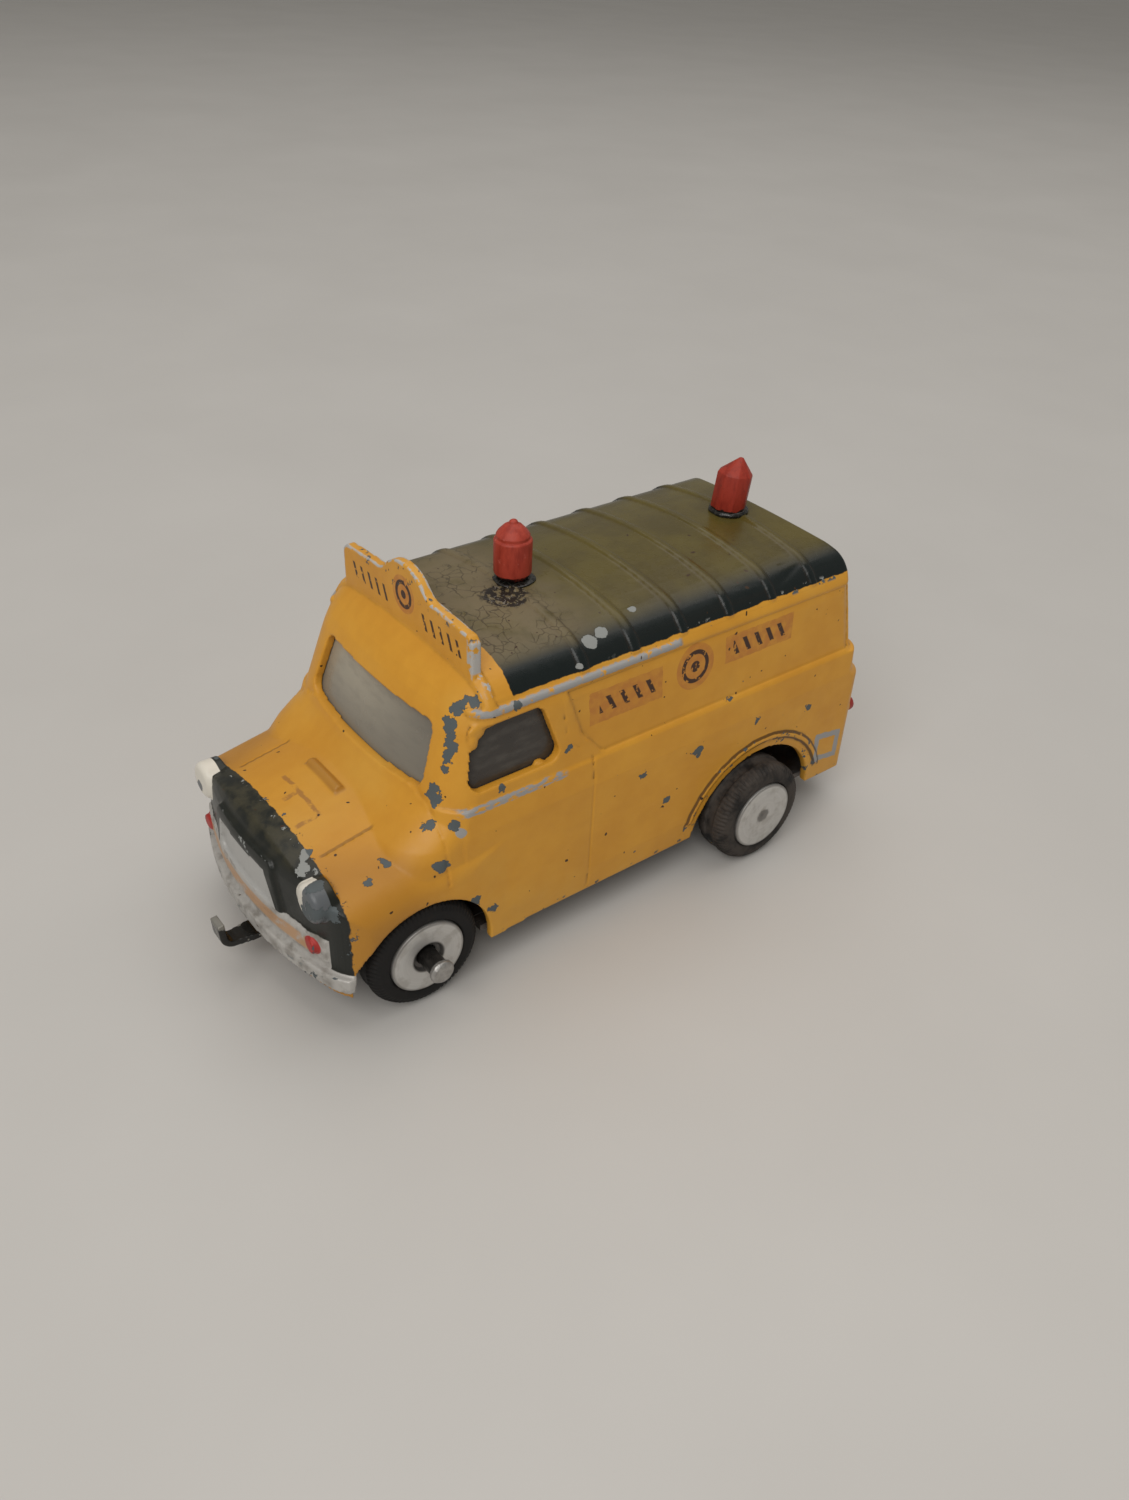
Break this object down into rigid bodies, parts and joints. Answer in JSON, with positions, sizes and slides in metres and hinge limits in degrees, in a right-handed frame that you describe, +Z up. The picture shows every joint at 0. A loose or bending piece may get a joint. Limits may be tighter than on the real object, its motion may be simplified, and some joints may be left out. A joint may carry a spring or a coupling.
{
  "type": "toy van",
  "caption": "Brush-painted cast metal toy service van with headboard sign, roof beacons, tow hook and freely turning wheels.",
  "frame": {"origin": "on the ground under the middle of the van's overall box", "axes": "+X to the van's left side, -Y towards the nose, +Z up"},
  "size_m": [0.042, 0.087, 0.0464],
  "materials": {
    "enamel": "hand brushed yellow enamel, dark green roof and nose, chipped",
    "tin": "dull tinplate",
    "glazing": "clouded clear sheet",
    "beacon_red": "hand painted red",
    "black_filler": "set black cement",
    "black_strip": "worn gloss black",
    "axle_steel": "dark oily steel, bright ends",
    "turned_aluminium": "turned, lightly scratched",
    "tyre_rubber": "dusty black rubber"
  },
  "bodies": {
    "chassis": {"body_shell": "enamel", "baseplate": "tin", "windscreen_glazing": "glazing", "left_door_glazing": "glazing", "right_door_glazing": "glazing", "rear_door_glazing": "glazing", "front_beacon": "beacon_red", "front_beacon_pad": "black_filler", "rear_beacon": "beacon_red", "rear_beacon_pad": "black_filler", "tow_hook": "black_strip"},
    "front_axle": {"front_axle": "axle_steel"},
    "front_left_wheel": {"front_left_hub": "turned_aluminium", "front_left_tyre": "tyre_rubber"},
    "front_right_wheel": {"front_right_hub": "turned_aluminium", "front_right_tyre": "tyre_rubber"},
    "rear_wheelset": {"rear_axle": "axle_steel", "rear_left_hub": "turned_aluminium", "rear_right_hub": "turned_aluminium", "rear_left_tyre": "tyre_rubber", "rear_right_tyre": "tyre_rubber"}
  },
  "joints": [
    {"name": "front_axle_float", "type": "slide", "parent": "chassis", "child": "front_axle", "axis": [1, 0, 0], "range_m": [-0.0022, 0]},
    {"name": "front_left_wheel_spin", "type": "hinge", "parent": "chassis", "child": "front_left_wheel", "pos_m": [0.0155, -0.0263, 0.007], "axis": [1, 0, 0], "continuous": true},
    {"name": "front_right_wheel_spin", "type": "hinge", "parent": "chassis", "child": "front_right_wheel", "pos_m": [-0.0155, -0.0263, 0.007], "axis": [1, 0, 0], "continuous": true},
    {"name": "rear_wheelset_spin", "type": "hinge", "parent": "chassis", "child": "rear_wheelset", "pos_m": [0, 0.0222, 0.007], "axis": [1, 0, 0], "continuous": true}
  ]
}
